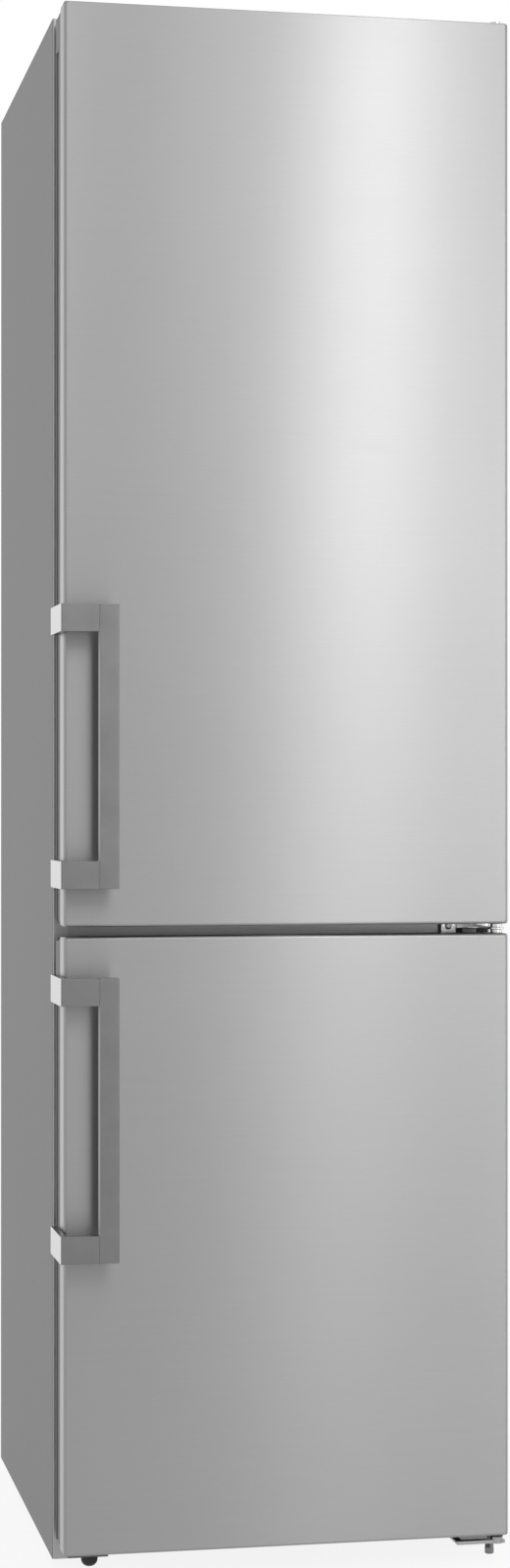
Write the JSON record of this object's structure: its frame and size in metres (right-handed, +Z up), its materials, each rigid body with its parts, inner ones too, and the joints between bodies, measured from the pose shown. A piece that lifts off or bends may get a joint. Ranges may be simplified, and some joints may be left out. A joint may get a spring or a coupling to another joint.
{
  "type": "fridge freezer",
  "caption": "Tall free-standing fridge freezer with two brushed steel doors, bar handles, shelves, drawers, door racks and a machine bay.",
  "frame": {"origin": "on the floor, at the middle of the cabinet's width, half way between the handles' front and the cabinet's back", "axes": "+X to the right seen from the front, +Y from the front to the back, +Z up"},
  "size_m": [0.596, 0.735, 2.0205],
  "materials": {
    "steel_front": "horizontally brushed stainless steel, fine clear lacquer",
    "cabinet_grey": "mid-grey painted sheet steel",
    "frame_dark": "dark grey moulded door frame",
    "handle_metal": "satin metal bar and arms",
    "bright_steel": "bright plated pressed steel",
    "gasket": "dark grey magnetic seal",
    "liner_white": "white moulded liner",
    "clear_plastic": "clear moulded drawer and rack plastic",
    "shelf_glass": "toughened glass with satin edge",
    "foam": "cream rigid foam, hidden inside the sheets",
    "black_plastic": "black moulded plastic",
    "zinc_steel": "zinc coated sheet",
    "compressor_black": "black enamelled can",
    "coil_metal": "bare metal tube and fins",
    "control_grey": "grey fascia with a lamp lens",
    "spring_grey": "grey sliding plunger"
  },
  "bodies": {
    "cabinet": {"left_side_panel": "cabinet_grey", "right_side_panel": "cabinet_grey", "top_panel": "cabinet_grey", "back_panel": "zinc_steel", "base_pan": "zinc_steel", "middle_rail": "cabinet_grey", "machine_bay": "zinc_steel", "fridge_liner": "liner_white", "freezer_liner": "liner_white", "cabinet_foam": "foam", "compressor_tray": "zinc_steel", "compressor_mounts": "gasket", "compressor": "compressor_black", "evaporation_dish": "black_plastic", "condenser_coil": "compressor_black", "rear_grille": "black_plastic", "mains_inlet": "black_plastic", "evaporator": "coil_metal", "evaporator_cover": "liner_white", "crisper_cover": "shelf_glass", "fridge_shelf_1": "shelf_glass", "fridge_shelf_2": "shelf_glass", "fridge_shelf_3": "shelf_glass", "freezer_shelf_1": "shelf_glass", "freezer_shelf_2": "shelf_glass", "control_panel": "control_grey", "upper_hinge": "bright_steel", "middle_hinge": "bright_steel", "lower_hinge": "bright_steel", "hinge_screws": "bright_steel"},
    "upper_door": {"upper_door_skin": "steel_front", "upper_door_frame": "frame_dark", "upper_door_foam": "foam", "upper_door_liner": "liner_white", "upper_door_gasket": "gasket", "door_rack_1": "clear_plastic", "door_rack_2": "clear_plastic", "door_rack_3": "clear_plastic", "upper_handle_mounts": "black_plastic"},
    "lower_door": {"lower_door_skin": "steel_front", "lower_door_frame": "frame_dark", "lower_door_foam": "foam", "lower_door_liner": "liner_white", "lower_door_gasket": "gasket", "lower_handle_mounts": "black_plastic"},
    "upper_handle": {"upper_handle_arms": "handle_metal", "upper_handle_bar": "handle_metal"},
    "lower_handle": {"lower_handle_arms": "handle_metal", "lower_handle_bar": "handle_metal"},
    "upper_plungers": {"upper_handle_plungers": "spring_grey"},
    "lower_plungers": {"lower_handle_plungers": "spring_grey"},
    "crisper": {"crisper_drawer": "clear_plastic"},
    "freezer_drawer_1": {"freezer_drawer_1": "clear_plastic"},
    "freezer_drawer_2": {"freezer_drawer_2": "clear_plastic"},
    "freezer_drawer_3": {"freezer_drawer_3": "clear_plastic"},
    "freezer_fan": {"freezer_fan": "black_plastic"},
    "left_foot": {"left_foot": "black_plastic"},
    "right_foot": {"right_foot": "zinc_steel"},
    "left_roller": {"left_roller": "black_plastic"},
    "right_roller": {"right_roller": "black_plastic"}
  },
  "joints": [
    {"name": "upper_door_swing", "type": "hinge", "parent": "cabinet", "child": "upper_door", "pos_m": [0.281, -0.3045, 1.42578], "axis": [0, 0, 1], "range_deg": [0, 115]},
    {"name": "lower_door_swing", "type": "hinge", "parent": "cabinet", "child": "lower_door", "pos_m": [0.281, -0.3045, 0.43262], "axis": [0, 0, 1], "range_deg": [0, 115]},
    {"name": "upper_handle_pull", "type": "hinge", "parent": "upper_door", "child": "upper_handle", "pos_m": [-0.2964, -0.2825, 1.0665], "axis": [0, 0, -1], "range_deg": [0, 7], "stiffness_Nm_per_rad": 20},
    {"name": "upper_plunger_push", "type": "slide", "parent": "upper_door", "child": "upper_plungers", "axis": [0, 1, 0], "range_m": [0, 0.0095]},
    {"name": "lower_handle_pull", "type": "hinge", "parent": "lower_door", "child": "lower_handle", "pos_m": [-0.2964, -0.2825, 0.5965], "axis": [0, 0, -1], "range_deg": [0, 7], "stiffness_Nm_per_rad": 20},
    {"name": "lower_plunger_push", "type": "slide", "parent": "lower_door", "child": "lower_plungers", "axis": [0, 1, 0], "range_m": [0, 0.0095]},
    {"name": "crisper_slide", "type": "slide", "parent": "cabinet", "child": "crisper", "axis": [0, -1, 0], "range_m": [0, 0.201]},
    {"name": "freezer_drawer_1_slide", "type": "slide", "parent": "cabinet", "child": "freezer_drawer_1", "axis": [0, -1, 0], "range_m": [0, 0.1205]},
    {"name": "freezer_drawer_2_slide", "type": "slide", "parent": "cabinet", "child": "freezer_drawer_2", "axis": [0, -1, 0], "range_m": [0, 0.1205]},
    {"name": "freezer_drawer_3_slide", "type": "slide", "parent": "cabinet", "child": "freezer_drawer_3", "axis": [0, -1, 0], "range_m": [0, 0.1205]},
    {"name": "freezer_fan_spin", "type": "hinge", "parent": "cabinet", "child": "freezer_fan", "pos_m": [0, 0.2505, 0.6775], "axis": [0, 1, 0], "continuous": true},
    {"name": "left_foot_turn", "type": "hinge", "parent": "cabinet", "child": "left_foot", "pos_m": [-0.244, -0.216, 0.01], "axis": [0, 0, 1], "continuous": true},
    {"name": "right_foot_turn", "type": "hinge", "parent": "cabinet", "child": "right_foot", "pos_m": [0.2855, -0.2545, 0.01], "axis": [0, 0, 1], "continuous": true},
    {"name": "left_roller_roll", "type": "hinge", "parent": "cabinet", "child": "left_roller", "pos_m": [-0.244, 0.3225, 0.012], "axis": [1, 0, 0], "continuous": true},
    {"name": "right_roller_roll", "type": "hinge", "parent": "cabinet", "child": "right_roller", "pos_m": [0.244, 0.3225, 0.012], "axis": [1, 0, 0], "continuous": true}
  ],
  "couplings": [
    {"joint": "crisper_slide", "follows": "upper_door_swing", "m_per_rad": 0.1},
    {"joint": "freezer_drawer_1_slide", "follows": "lower_door_swing", "m_per_rad": 0.06},
    {"joint": "freezer_drawer_2_slide", "follows": "lower_door_swing", "m_per_rad": 0.06},
    {"joint": "freezer_drawer_3_slide", "follows": "lower_door_swing", "m_per_rad": 0.06},
    {"joint": "upper_plunger_push", "follows": "upper_handle_pull", "m_per_rad": 0.0769},
    {"joint": "lower_plunger_push", "follows": "lower_handle_pull", "m_per_rad": 0.0769}
  ]
}
